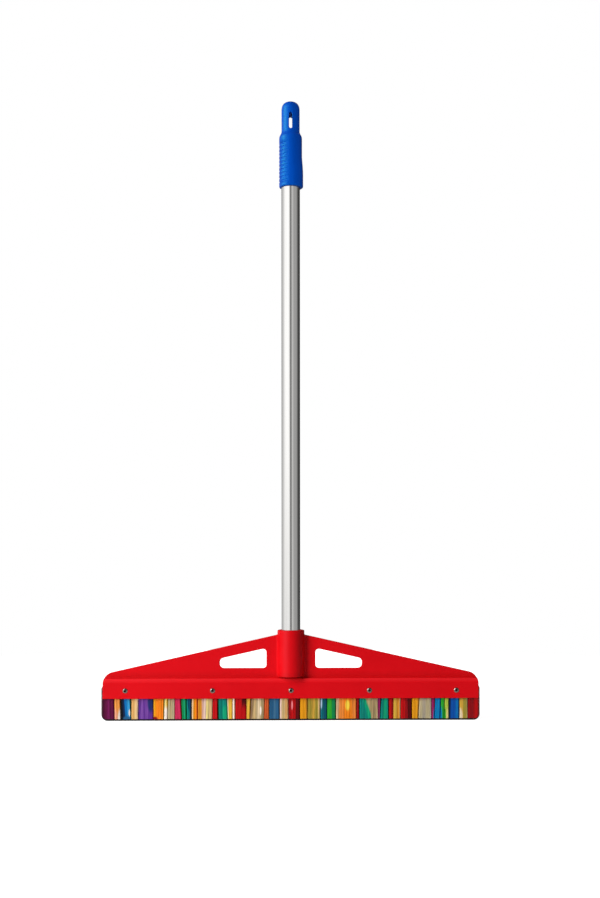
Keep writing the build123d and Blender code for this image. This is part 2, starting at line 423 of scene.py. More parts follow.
STRIP_LOOKS = (
    StripLook(((Dye.AUBERGINE, 0.0), (Dye.PLUM, 0.15), (Dye.MAUVE, 0.42), (Dye.PLUM, 0.6))),
    StripLook(
        ((Dye.APRICOT, 0.0),),
        patches=(
            Patch(Dye.SALMON, (0.1, 0.05), (0.5, 0.35)),
            Patch(Dye.IVORY, (1.0, 0.0), (0.6, 0.4)),
        ),
    ),
    StripLook(
        ((Dye.INK, 0.0), (Dye.NAVY, 0.12), (Dye.BLUE, 0.38), (Dye.CYAN, 0.66), (Dye.PINE, 0.82)),
        skew=-0.25,
        patches=(
            # A small ivory spot: a painted highlight
            Patch(Dye.IVORY, (0.85, 0.2), (0.1, 0.14)),
            Patch(Dye.STEEL, (0.6, 0.0), (0.5, 0.12)),
        ),
    ),
    StripLook(((Dye.TAN, 0.0), (Dye.WHEAT, 0.5), (Dye.BLUSH, 0.88))),
    StripLook(
        (
            (Dye.VIOLET, 0.0),
            (Dye.LILAC, 0.2),
            (Dye.VIOLET, 0.32),
            (Dye.LILAC, 0.5),
            (Dye.VIOLET, 0.62),
        ),
        streak=0.8,
        patches=(Patch(Dye.INDIGO, (0.82, 0.52), (0.28, 0.4)),),
    ),
    StripLook(
        ((Dye.AMBER, 0.0), (Dye.ORANGE, 0.25), (Dye.OLIVE, 0.93)),
        patches=(Patch(Dye.WINE, (0.12, 0.0), (0.4, 0.1)),),
    ),
    StripLook(
        ((Dye.LEMON, 0.0), (Dye.YELLOW, 0.6)),
        patches=(Patch(Dye.IVORY, (0.5, 0.05), (1.2, 0.42)),),
    ),
    StripLook(((Dye.SAGE, 0.0), (Dye.KHAKI, 0.35), (Dye.SAGE, 0.5), (Dye.BLUSH, 0.9))),
    StripLook(((Dye.CRIMSON, 0.0), (Dye.WINE, 0.92))),
    StripLook(((Dye.GREEN, 0.0), (Dye.EMERALD, 0.4), (Dye.GREEN, 0.6))),
    StripLook(
        ((Dye.TEAL, 0.0), (Dye.PETROL, 0.25), (Dye.NAVY, 0.7), (Dye.INK, 0.85)),
        patches=(Patch(Dye.TEAL, (0.2, 0.1), (0.5, 0.3)),),
    ),
    StripLook(((Dye.PEACH, 0.0), (Dye.AMBER, 0.2), (Dye.ORANGE, 0.5), (Dye.RUST, 0.82))),
    StripLook(((Dye.OCHRE, 0.0), (Dye.AMBER, 0.6))),
    StripLook(
        ((Dye.ROSE, 0.0), (Dye.BLUSH, 0.3), (Dye.LEMON, 0.5), (Dye.SAND, 0.62), (Dye.ROSE, 0.92)),
        streak=0.7,
    ),
    StripLook(((Dye.RED, 0.0), (Dye.WINE, 0.88))),
    StripLook(
        ((Dye.PINE, 0.0), (Dye.TEAL, 0.12)), patches=(Patch(Dye.EMERALD, (0.8, 0.15), (0.45, 0.35)),)
    ),
    StripLook(((Dye.CREAM, 0.0), (Dye.YELLOW, 0.2), (Dye.GOLD, 0.85))),
    StripLook(((Dye.IVORY, 0.0), (Dye.CREAM, 0.6))),
    StripLook(((Dye.RED, 0.0), (Dye.MAROON, 0.6)), patches=(Patch(Dye.RED, (0.8, 0.0), (0.6, 0.55)),)),
    StripLook(((Dye.GOLD, 0.0), (Dye.YELLOW, 0.45), (Dye.OCHRE, 0.92))),
    StripLook(
        ((Dye.TAUPE, 0.0), (Dye.SAND, 0.12), (Dye.KHAKI, 0.35), (Dye.CREAM, 0.5), (Dye.KHAKI, 0.64)),
        streak=0.7,
        # A small ivory spot: a painted highlight
        patches=(Patch(Dye.IVORY, (0.74, 0.25), (0.08, 0.18)),),
    ),
    StripLook(((Dye.RUST, 0.0), (Dye.TANGERINE, 0.85))),
    StripLook(((Dye.STEEL, 0.0), (Dye.SLATE, 0.42), (Dye.STEEL, 0.58), (Dye.NAVY, 0.92))),
    StripLook(((Dye.BLUSH, 0.0), (Dye.SAND, 0.18), (Dye.TAN, 0.6), (Dye.CREAM, 0.88))),
    StripLook(
        ((Dye.WINE, 0.0), (Dye.RED, 0.2), (Dye.MAROON, 0.6)),
        # A pink spot: a painted highlight
        patches=(Patch(Dye.PINK, (0.3, 0.42), (0.1, 0.18)),),
    ),
    StripLook(((Dye.AMBER, 0.0), (Dye.OCHRE, 0.75))),
    StripLook(((Dye.OLIVE, 0.0), (Dye.GOLD, 0.35), (Dye.OLIVE, 0.55), (Dye.PEACH, 0.9)), streak=0.7),
    StripLook(
        ((Dye.LAGOON, 0.0), (Dye.PETROL, 0.6)),
        # A lavender spot: a painted highlight
        patches=(Patch(Dye.LAVENDER, (0.12, 0.48), (0.18, 0.22)),),
    ),
    StripLook(((Dye.LEAF, 0.0), (Dye.GREEN, 0.5), (Dye.PINE, 0.88))),
    StripLook(
        ((Dye.PEACH, 0.0), (Dye.TANGERINE, 0.1), (Dye.ORANGE, 0.4), (Dye.TANGERINE, 0.8)),
        streak=0.7,
        # A bright yellow spot: a painted highlight
        patches=(Patch(Dye.SUN, (0.56, 0.42), (0.14, 0.22)),),
    ),
    StripLook(((Dye.WINE, 0.0), (Dye.MAROON, 0.8))),
    StripLook(((Dye.TEAL, 0.0), (Dye.EMERALD, 0.3), (Dye.KHAKI, 0.62)), skew=-0.9),
    StripLook(((Dye.KHAKI, 0.0), (Dye.TAUPE, 0.42), (Dye.KHAKI, 0.55), (Dye.BLUSH, 0.88)), streak=0.7),
    StripLook(
        ((Dye.MAGENTA, 0.0), (Dye.PLUM, 0.6)), patches=(Patch(Dye.TEAL, (1.0, 0.0), (0.6, 0.5)),)
    ),
    StripLook(((Dye.TEAL, 0.0), (Dye.EMERALD, 0.3), (Dye.TEAL, 0.7), (Dye.PINE, 0.92))),
    StripLook(((Dye.RED, 0.0), (Dye.MAROON, 0.58), (Dye.RED, 0.72))),
    StripLook(((Dye.GOLD, 0.0), (Dye.OCHRE, 0.5), (Dye.PEACH, 0.85))),
    StripLook(((Dye.RED, 0.0), (Dye.WINE, 0.4), (Dye.MAROON, 0.58))),
    StripLook(((Dye.AMBER, 0.0), (Dye.OCHRE, 0.7)), skew=-0.2),
    StripLook(((Dye.SAGE, 0.0), (Dye.GREY, 0.3), (Dye.SAGE, 0.5), (Dye.IVORY, 0.9)), streak=0.7),
    StripLook(
        ((Dye.MAGENTA, 0.0), (Dye.CRIMSON, 0.6)),
        patches=(Patch(Dye.CERULEAN, (1.0, 0.0), (0.7, 0.45)),),
    ),
    StripLook(((Dye.CERULEAN, 0.0), (Dye.BLUE, 0.7))),
    StripLook(
        ((Dye.LEAF, 0.0), (Dye.GREEN, 0.85)), patches=(Patch(Dye.CERULEAN, (0.0, 0.0), (0.6, 0.45)),)
    ),
    StripLook(
        ((Dye.LIME, 0.0),),
        patches=(Patch(Dye.LEMON, (0.7, 0.0), (0.5, 0.4)), Patch(Dye.LEAF, (0.0, 0.0), (0.5, 0.45))),
    ),
    StripLook(((Dye.NAVY, 0.0), (Dye.ROYAL, 0.15), (Dye.BLUE, 0.6), (Dye.NAVY, 0.92))),
    StripLook(
        ((Dye.GOLD, 0.0), (Dye.OLIVE, 0.5), (Dye.PEACH, 0.88)),
        patches=(Patch(Dye.CREAM, (0.1, 0.08), (0.35, 0.3)),),
    ),
    StripLook(((Dye.WINE, 0.0), (Dye.RED, 0.5), (Dye.WINE, 0.8))),
)


@dataclass(frozen=True)
class DrawnVinyl:
    """Soft drawn vinyl: a glossy skin, with the dye in long streaks that run down the strip."""

    look: StripLook
    width_mm: float
    seed: float
    streak_mm: float = 3.0
    hair_mm: float = 2.2
    blend: float = 0.12
    wander: float = 0.5
    roughness: float = 0.26
    shine: float = 0.1

    def material(self, name: str) -> Material:
        """Build the node material for one strip.

        Args:
            name: The strip's name.

        Returns:
            The material.
        """
        material, tree = new_material("drawn_vinyl_" + name)
        uv = add_node(tree, "TexCoord").outputs["UV"]
        dye = self._bands(tree, uv)
        for patch in self.look.patches:
            dye = self._spot(tree, uv, dye, patch)
        hairs = self._streaks(tree, uv, self.hair_mm, 1.0)
        tones = ((0.34, grey(1 - 0.5 * self.look.streak)), (0.56, grey(1.0)))
        shade = add_node(tree, "ValToRGB", {"Fac": hairs}, tones)
        mixed = {"Factor": 1.0, "A": dye, "B": shade}
        relief = {"Height": hairs, "Strength": 0.35, "Distance": 0.15 * MM}
        skin = {
            "Base Color": add_node(tree, "Mix", mixed, data_type="RGBA", blend_type="MULTIPLY"),
            "Normal": add_node(tree, "Bump", relief),
            "Roughness": self.roughness,
            "IOR": 1.53,
            "Specular IOR Level": self.shine,
        }
        add_node(tree, "OutputMaterial", {"Surface": add_node(tree, "BsdfPrincipled", skin)})
        return material

    def _bands(self, tree: NodeTree, uv: NodeSocket) -> Node:
        """Add the bands of dye, whose borders lean and wander.

        Args:
            tree: The material's node tree.
            uv: The strip's own map, 0 to 1 across and up.

        Returns:
            The colour.
        """
        bands, skew = self.look.bands, self.look.skew
        parts = add_node(tree, "SeparateXYZ", {"Vector": uv}).outputs
        streaks = self._streaks(tree, uv, self.streak_mm, 0.5)
        slant = {0: parts["Y"], 1: -skew, 2: parts["X"]}
        lean = add_node(tree, "Math", slant, operation="MULTIPLY_ADD")
        bent = add_node(tree, "Math", {0: streaks, 1: self.wander, 2: lean}, operation="MULTIPLY_ADD")
        centred = add_node(tree, "Math", {0: bent, 1: (skew - self.wander) / 2}, operation="ADD")
        stops = [(0.0, linear(bands[0][0].value))]
        for (left, _), (right, border) in pairwise(bands):
            stops.append((border - self.blend / 2, linear(left.value)))
            stops.append((border + self.blend / 2, linear(right.value)))
        stops.append((1.0, linear(bands[-1][0].value)))
        return add_node(tree, "ValToRGB", {"Fac": centred}, stops)

    @staticmethod
    def _spot(tree: NodeTree, uv: NodeSocket, dye: Node, patch: Patch) -> Node:
        """Lay a soft-edged spot of another dye, or a painted highlight, over a colour.

        Args:
            tree: The material's node tree.
            uv: The strip's own map, 0 to 1 across and up.
            dye: The colour under the spot.
            patch: The spot.

        Returns:
            The colour with the spot.
        """
        (across, up), (wide, high) = patch.middle, patch.reach
        centre = {"Location": (-across / wide, -up / high, 0), "Scale": (1 / wide, 1 / high, 1)}
        place = add_node(tree, "Mapping", {"Vector": uv, **centre})
        away = add_node(tree, "VectorMath", {0: place}, operation="LENGTH")
        fade = {"Value": away, "From Min": 1.0, "From Max": 0.5}
        share = add_node(tree, "MapRange", fade, interpolation_type="SMOOTHSTEP")
        mixed = {"Factor": share, "A": dye, "B": linear(patch.dye.value)}
        return add_node(tree, "Mix", mixed, data_type="RGBA")

    def _streaks(self, tree: NodeTree, uv: NodeSocket, size_mm: float, drift: float) -> Node:
        """Add noise that is drawn out along the strip.

        Args:
            tree: The material's node tree.
            uv: The strip's own map, 0 to 1 across and up.
            size_mm: Width of one streak.
            drift: How often a streak changes along the strip.

        Returns:
            The noise node.
        """
        drawn = {"Location": (self.seed, 0, 0), "Scale": (self.width_mm / size_mm, drift, 1)}
        stretch = add_node(tree, "Mapping", {"Vector": uv, **drawn})
        return add_node(tree, "TexNoise", {"Vector": stretch, "Scale": 1.0, "Detail": 2.0})


# Moulded polypropylene: a full red, with a painted highlight along the ledge and painted shade in the
# corner above it
# A paler red along the ledge's front: a painted highlight
PAINTED_LEDGE_HIGHLIGHT = PaintedLight("#ee1c24", (61.5, 66.5, 68.3, 68.6))
# A darker red in the corner between the ledge and the plate: painted shade
PAINTED_CORNER_SHADE = PaintedLight("#ce050b", (68.3, 68.9, 71.0, 80.0))
RED_MOULDING = MouldedPlastic(
    "red_polypropylene", "#e40612", "#dc0510", "#ffbcd0", 0.45, 0.22, painted_light=(PAINTED_LEDGE_HIGHLIGHT, PAINTED_CORNER_SHADE)
)
# The same plastic from a matt mould: a deep blue with a broad sheen that turns its lit side azure
BLUE_MOULDING = MouldedPlastic("blue_polypropylene", "#0241ac", "#023da4", "#00ffc0", 0.5, 0.5)
# Moulded nylon: dull, black in the plug and waxy pale in the washer
BLACK_NYLON = MouldedPlastic("black_nylon", "#121214", "#1a1a1c", "#ffffff", 0.42)
PALE_NYLON = MouldedPlastic("natural_nylon", "#d8cfb6", "#cfc4a6", "#ffffff", 0.45)
# Powder coat on flat steel: a red near the moulding's, with the fine peel of baked powder
RED_POWDER_COAT = MouldedPlastic(
    "red_powder_coat", "#d00a12", "#c8090f", "#ff8080", 0.4, 0.3, cloud_mm=60.0, pebble_mm=1.0
)
# Plated and polished steel: it mirrors the room in long bands, with faint lines from drawing
PLATED_TUBE = WorkedMetal("plated_steel", "#e4e3e1", "#d6d5d3", 0.1, (0.6, 0.6, 260.0), 0.0012)
# Tumbled aluminium: grey and slightly blotched. Torn steel: rough, darkened as painted shade in the
# bores
RIVET_ALUMINIUM = WorkedMetal("rivet_aluminium", "#857a74", "#6a605b", 0.24, (1.2, 1.2, 1.2), 0.03)
# Darker than bare steel: painted shade for the hollow of each rivet's bore
MANDREL_STEEL_DARKENED_AS_SHADE = WorkedMetal("mandrel_steel", "#2c2826", "#181514", 0.45, (0.5, 0.5, 0.5), 0.08)


class Body(Enum):
    """Bodies of the frame that pieces ride on."""

    HEAD = "head"
    HANDLE = "handle"


def deselect() -> None:
    """Leave nothing selected."""
    bpy.ops.object.select_all(action="DESELECT")


def choose(piece: Object) -> None:
    """Select one piece alone and make it active.

    Args:
        piece: The piece.
    """
    deselect()
    piece.select_set(True)
    bpy.context.view_layer.objects.active = piece


@contextmanager
def editing(piece: Object, mode: str = "VERT") -> Iterator[None]:
    """Open a piece in edit mode, and close it again.

    Args:
        piece: The piece to edit.
        mode: What is selected in it: VERT, EDGE or FACE.
    """
    choose(piece)
    bpy.ops.object.mode_set(mode="EDIT")
    bpy.ops.mesh.select_mode(type=mode)
    yield
    bpy.ops.object.mode_set(mode="OBJECT")


def pick(piece: Object, kind: str, test: Callable[[Sequence[Vector]], bool]) -> None:
    """Select by place, in edit mode: the corners, edges or faces whose corners' places pass a test.

    Args:
        piece: The piece in edit mode.
        kind: "verts", "edges" or "faces".
        test: Says whether an element with these corners belongs to the selection.
    """
    bpy.ops.mesh.select_all(action="DESELECT")
    mesh = bmesh.from_edit_mesh(piece.data)
    for element in getattr(mesh, kind):
        corners = [element.co] if kind == "verts" else [corner.co for corner in element.verts]
        if test(corners):
            element.select_set(True)
    mesh.select_flush_mode()
    bmesh.update_edit_mesh(piece.data)


def finish_with(piece: Object, kind: str, **settings: object) -> None:
    """Add a modifier to a piece and apply it.

    Args:
        piece: The piece that it shapes.
        kind: The modifier's type.
        **settings: The modifier's properties.
    """
    choose(piece)
    modifier = piece.modifiers.new(kind.lower(), kind)
    for key, value in settings.items():
        setattr(modifier, key, value)
    bpy.ops.object.modifier_apply(modifier=modifier.name)


def smooth(piece: Object, degrees: float) -> None:
    """Shade a piece smooth, apart from edges sharper than an angle."""
    choose(piece)
    bpy.ops.object.shade_smooth_by_angle(angle=math.radians(degrees))


def settle(piece: Object) -> None:
    """Put a piece's place, turn and size into its mesh."""
    choose(piece)
    bpy.ops.object.transform_apply(location=True, rotation=True, scale=True)


def primitive(
    name: str, operator: Callable[..., object], scale: Place = (1, 1, 1), **settings: object
) -> Object:
    """Add a primitive at its size and place, with nothing else selected.

    Args:
        name: The piece's name.
        operator: The operator that adds it.
        scale: Its size along its own axes.
        **settings: What the operator takes.

    Returns:
        The new piece.
    """
    deselect()
    operator(**settings)
    piece = bpy.context.object
    piece.name = name
    piece.scale = scale
    settle(piece)
    return piece


def face_outwards() -> None:
    """Point every face of the piece in edit mode outwards."""
    bpy.ops.mesh.select_all(action="SELECT")
    bpy.ops.mesh.normals_make_consistent(inside=False)


def turn(name: str, profile: Sequence[tuple[float, float]], sides: int) -> Object:
    """Turn a closed round piece about +Z, by extruding and resizing a disc along its profile.

    Args:
        name: The piece's name.
        profile: Radius and height at each step, in metres.
        sides: Number of sides round the piece.

    Returns:
        The new piece.
    """
    (radius, height), *steps = profile
    piece = primitive(
        name,
        bpy.ops.mesh.primitive_circle_add,
        vertices=sides,
        radius=radius,
        fill_type="NGON",
        location=(0, 0, height),
    )
    with editing(piece, "FACE"):
        bpy.ops.mesh.select_all(action="SELECT")
        for next_radius, next_height in steps:
            bpy.ops.mesh.extrude_region_move(
                TRANSFORM_OT_translate={"value": (0, 0, next_height - height)}
            )
            share = next_radius / radius
            bpy.ops.transform.resize(value=(share, share, 1), center_override=(0, 0, next_height))
            radius, height = next_radius, next_height
        face_outwards()
    return piece


def install(piece: Object, body: Body, slot: str, *nodes: str) -> None:
    """Let a new piece ride on a body in the place of its nodes.

    Args:
        piece: The new piece.
        body: The body that carries it.
        slot: The record's material slot; not used.
        *nodes: The nodes that it stands for.
    """
    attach(piece, body.value)
    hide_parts(*nodes)
    log.info("%s rides on %s, %d faces", piece.name, body.value, len(piece.data.polygons))


def rounded_slab(
    name: str, low: Vector, high: Vector, foot_radius: float, head_radius: float, steps: int
) -> Object:
    """Model an upright sheet with rounded corners.

    Args:
        name: The piece's name.
        low: The lowest corner of the sheet's box.
        high: The highest corner.
        foot_radius: Radius of the two lower corners.
        head_radius: Radius of the two upper corners.
        steps: Number of steps round a corner.

    Returns:
        The new piece.
    """
    middle = (low + high) / 2
    size = high - low
    slab = primitive(
        name,
        bpy.ops.mesh.primitive_plane_add,
        (size.x, size.z, 1),
        size=1,
        rotation=UPRIGHT,
        location=middle,
    )
    with editing(slab):
        pick(slab, "verts", lambda corners: corners[0].z < middle.z)
        bpy.ops.mesh.bevel(offset=foot_radius, segments=steps, affect="VERTICES")
        pick(slab, "verts", lambda corners: corners[0].z > high.z - MM)
        bpy.ops.mesh.bevel(offset=head_radius, segments=steps, affect="VERTICES")
    finish_with(slab, "SOLIDIFY", thickness=size.y, offset=0)
    return slab


@dataclass
class Head:
    """The moulded head and the bar behind it."""

    def build(self) -> None:
        """Dress the nodes, whose shapes are right as they are."""
        dress(frame["nodes"]["head_frame"], RED_MOULDING.material())
        dress(frame["nodes"]["rear_clamp_bar"], RED_POWDER_COAT.material())
        log.info("head_frame and rear_clamp_bar dressed")


@dataclass
class Blade:
    """The rubber sheet behind the strips."""

    foot_radius: float = 10 * MM
    head_radius: float = 5 * MM
    corner_steps: int = 12
    edge_radius: float = 0.5 * MM

    def build(self) -> None:
        """Model the sheet with its rounded corners and softened edges."""
        low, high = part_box("rubber_blade")
        sheet = rounded_slab(
            "rubber_sheet", low, high, self.foot_radius, self.head_radius, self.corner_steps
        )
        finish_with(sheet, "BEVEL", width=self.edge_radius, segments=3, limit_method="ANGLE")
        smooth(sheet, degrees=20)
        dress(sheet, SheetRubber().material())
        install(sheet, Body.HEAD, "blade_rubber", "rubber_blade")


@dataclass
class StripRow:
    """The row of soft strips clamped in front of the rubber."""

    foot_radius: float = 8 * MM
    foot_steps: int = 12
    outline_room: Place = (0.02 * MM, 10 * MM, 0.02 * MM)
    outline_corner: float = 0.01 * MM
    fold_width: float = 5 * MM
    fold_shift: float = 0.22
    fold_drift: float = 0.35
    column: float = 0.4 * MM
    fewest_columns: int = 10
    rows: int = 24
    edge_share: float = 0.44
    edge_reach: float = 1.6 * MM
    valley_share: float = 0.75
    touch: float = 0.001 * MM
    end_reach: float = 0.05 * MM
    seed_step: float = 7.3

    def build(self) -> None:
        """Model every strip of the frame, from left to right."""
        names = sorted(name for name in frame["nodes"] if name.startswith("strip_"))
        outline = self._outline(names)
        for number, name in enumerate(names):
            strip = self._sheet(name)
            self._fold(strip, name, random.Random(number))
            self._back(strip, name)
            if name in (names[0], names[-1]):
                finish_with(strip, "BOOLEAN", operation="INTERSECT", object=outline)
            smooth(strip, degrees=60)
            low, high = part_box(name)
            width_mm = (high.x - low.x) / MM
            finish = DrawnVinyl(STRIP_LOOKS[number], width_mm, self.seed_step * number)
            dress(strip, finish.material(name))
            install(strip, Body.HEAD, "strip_" + name.split("_", 2)[2], name)
        bpy.data.objects.remove(outline)

    def _outline(self, names: Sequence[str]) -> Object:
        """Model the block that trims the outer strips to the row's rounded feet.

        Args:
            names: The strips' nodes from left to right.

        Returns:
            The block.
        """
        room = Vector(self.outline_room)
        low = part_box(names[0])[0] - room
        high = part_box(names[-1])[1] + room
        return rounded_slab(
            "row_outline", low, high, self.foot_radius, self.outline_corner, self.foot_steps
        )

    def _edges(self, name: str, height: float) -> tuple[float, float]:
        """Find a strip's left and right edge at one end, as they are before its foot is rounded.

        Args:
            name: The strip's node.
            height: The height of that end.

        Returns:
            The two edges' X.
        """
        low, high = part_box(name)
        corners = [v.co for v in frame["nodes"][name].data.vertices]
        row = [corner.x for corner in corners if abs(corner.z - height) < self.end_reach]
        left = low.x if min(row) - low.x > self.foot_radius / 2 else min(row)
        right = high.x if high.x - max(row) > self.foot_radius / 2 else max(row)
        return left, right

    def _sheet(self, name: str) -> Object:
        """Model a strip's flat sheet between its slanting edges, divided into columns and rows.

        Args:
            name: The strip's node.

        Returns:
            The open sheet.
        """
        low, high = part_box(name)
        half = 0.5
        sheet = primitive(
            "folded_" + name,
            bpy.ops.mesh.primitive_plane_add,
            size=2 * half,
            rotation=UPRIGHT,
            location=(0, high.y, 0),
        )
        with editing(sheet, "EDGE"):
            for sign, height in ((1, high.z), (-1, low.z)):
                left, right = self._edges(name, height)
                pick(sheet, "edges", lambda ends, sign=sign: all(end.z * sign > 0 for end in ends))
                bpy.ops.transform.resize(value=(right - left, 1, 1), center_override=(0, 0, 0))
                bpy.ops.transform.translate(value=((left + right) / 2, 0, height - sign * half))
            columns = max(self.fewest_columns, round((high.x - low.x) / self.column))
            pick(sheet, "edges", lambda ends: abs(ends[0].z - ends[1].z) < self.touch)
            bpy.ops.mesh.subdivide(number_cuts=columns - 1)
            pick(sheet, "edges", lambda ends: abs(ends[0].z - ends[1].z) >= self.touch)
            bpy.ops.mesh.subdivide(number_cuts=self.rows - 1)
        return sheet

    def _fold(self, sheet: Object, name: str, chance: random.Random) -> None:
        """Press a strip's sheet into soft folds that wander a little on their way down.

        Args:
            sheet: The flat sheet.
            name: The strip's node.
            chance: The strip's own seeded draws.
        """
        low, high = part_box(name)
        width = high.x - low.x
        count = max(1, round(width / self.fold_width))
        inner = range(1, count)
        shift, drift = self.fold_shift, self.fold_drift
        borders = [0.0, *((n + chance.uniform(-shift, shift)) / count for n in inner), 1.0]
        drifts = [0.0, *(chance.uniform(-drift, drift) / count for _ in inner), 0.0]
        crests = [chance.uniform(self.valley_share, 1.0) for _ in range(count)]
        head_left, head_right = self._edges(name, high.z)
        foot_left, foot_right = self._edges(name, low.z)
        depth = sheet.vertex_groups.new(name="depth")
        for vertex in sheet.data.vertices:
            fall = (high.z - vertex.co.z) / (high.z - low.z)
            left = head_left + (foot_left - head_left) * fall
            right = head_right + (foot_right - head_right) * fall
            across = min(max((vertex.co.x - left) / (right - left), 0.0), 1.0)
            lines = [border + way * fall for border, way in zip(borders, drifts, strict=True)]
            fold = next((n for n in range(count) if across <= lines[n + 1]), count - 1)
            side = 2 * (across - lines[fold]) / (lines[fold + 1] - lines[fold]) - 1
            swell = self.valley_share + (crests[fold] - self.valley_share) * (1 - side * side)
            inward = min(across, 1 - across) * (right - left)
            rise = 1 - max(0.0, 1 - inward / self.edge_reach) ** 2
            share = self.edge_share + (1 - self.edge_share) * swell * rise
            depth.add([vertex.index], share, "REPLACE")
        push = {"direction": "Y", "strength": low.y - high.y, "mid_level": 0.0}
        finish_with(sheet, "DISPLACE", vertex_group=depth.name, **push)

    @staticmethod
    def _back(sheet: Object, name: str) -> None:
        """Close a folded sheet with a flat back that lies on the rubber.

        Args:
            sheet: The folded sheet.
            name: The strip's node.
        """
        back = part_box(name)[1].y
        with editing(sheet, "FACE"):
            bpy.ops.mesh.select_all(action="SELECT")
            bpy.ops.mesh.extrude_region_move(TRANSFORM_OT_translate={"value": (0, MM, 0)})
            bpy.ops.transform.resize(value=(1, 0, 1), center_override=(0, back, 0))
            bpy.ops.mesh.dissolve_faces()
            face_outwards()


@dataclass
class Rivets:
    """The five blind rivets, and the stubs of the pins that pulled them tight."""

    sides: int = 48
    shank: float = 2.4 * MM
    head: float = 4.1 * MM
    head_height: float = 1.5 * MM
    cup: float = 1.9 * MM
    bore: float = 1.45 * MM
    tail: float = 3.6 * MM
    closest: float = 10 * MM

    def build(self) -> None:
        """Turn one rivet and one stub, and copy them along the band."""
        places = self._places()
        rivet = turn("blind_rivets", self._rivet_profile(), self.sides)
        stub = turn("pin_stubs", self._stub_profile(), self.sides // 2)
        for piece, finish, slot, node in (
            (rivet, RIVET_ALUMINIUM, "rivet_aluminium", "blade_rivets"),
            (stub, MANDREL_STEEL_DARKENED_AS_SHADE, "mandrel_steel", "rivet_mandrels"),
        ):
            piece.rotation_euler = UPRIGHT
            settle(piece)
            smooth(piece, degrees=40)
            self._repeat(piece, places)
            dress(piece, finish.material())
            install(piece, Body.HEAD, slot, node)

    def _places(self) -> list[Vector]:
        """Find the stubs in the frame.

        Returns:
            Their middles from left to right, at no depth.
        """
        low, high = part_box("rivet_mandrels")
        spots: list[list[float]] = []
        for x in sorted(vertex.co.x for vertex in frame["nodes"]["rivet_mandrels"].data.vertices):
            if not spots or x - spots[-1][-1] > self.closest:
                spots.append([])
            spots[-1].append(x)
        return [Vector(((spot[0] + spot[-1]) / 2, 0, (low.z + high.z) / 2)) for spot in spots]

    def _rivet_profile(self) -> list[tuple[float, float]]:
        """Draw a rivet's outline from its upset tail to the cup in its head.

        Returns:
            Radius and height at each step.
        """
        back = -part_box("rear_clamp_bar")[1].y
        tail_end = -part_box("blade_rivets")[1].y
        top = -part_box("blade_rivets")[0].y
        front = top - self.head_height
        return [
            (self.tail - 0.9 * MM, tail_end),
            (self.tail - 0.2 * MM, tail_end + 0.5 * MM),
            (self.tail, tail_end + 1.3 * MM),
            (self.tail - 0.1 * MM, back),
            (self.shank, back),
            (self.shank, front),
            (self.head, front),
            (self.head, front + 0.35 * MM),
            (self.head - 0.3 * MM, front + 0.65 * MM),
            (self.head - 1.0 * MM, top - 0.25 * MM),
            (self.cup + 0.6 * MM, top),
            (self.cup + 0.15 * MM, top - 0.05 * MM),
            (self.cup, top - 0.25 * MM),
            (self.bore, top - 0.9 * MM),
            (self.bore, top - 1.6 * MM),
        ]

    def _stub_profile(self) -> list[tuple[float, float]]:
        """Draw a stub's outline from its tail to its torn end.

        Returns:
            Radius and height at each step.
        """
        low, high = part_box("rivet_mandrels")
        end = -low.y
        return [
            (0.8 * self.bore, -high.y),
            (self.bore, 0.3 * MM - high.y),
            (self.bore, end - 0.35 * MM),
            (0.8 * self.bore, end),
            (0.35 * self.bore, end - 0.3 * MM),
        ]

    @staticmethod
    def _repeat(piece: Object, places: Sequence[Vector]) -> None:
        """Copy a piece to every place and join the copies.

        Args:
            piece: The piece, modelled at the origin.
            places: Where it goes.
        """
        copies = [piece]
        for _ in places[1:]:
            copy = piece.copy()
            copy.data = piece.data.copy()
            bpy.context.collection.objects.link(copy)
            copies.append(copy)
        choose(piece)
        for copy, place in zip(copies, places, strict=True):
            copy.location = place
            copy.select_set(True)
        bpy.ops.object.join()
        settle(piece)


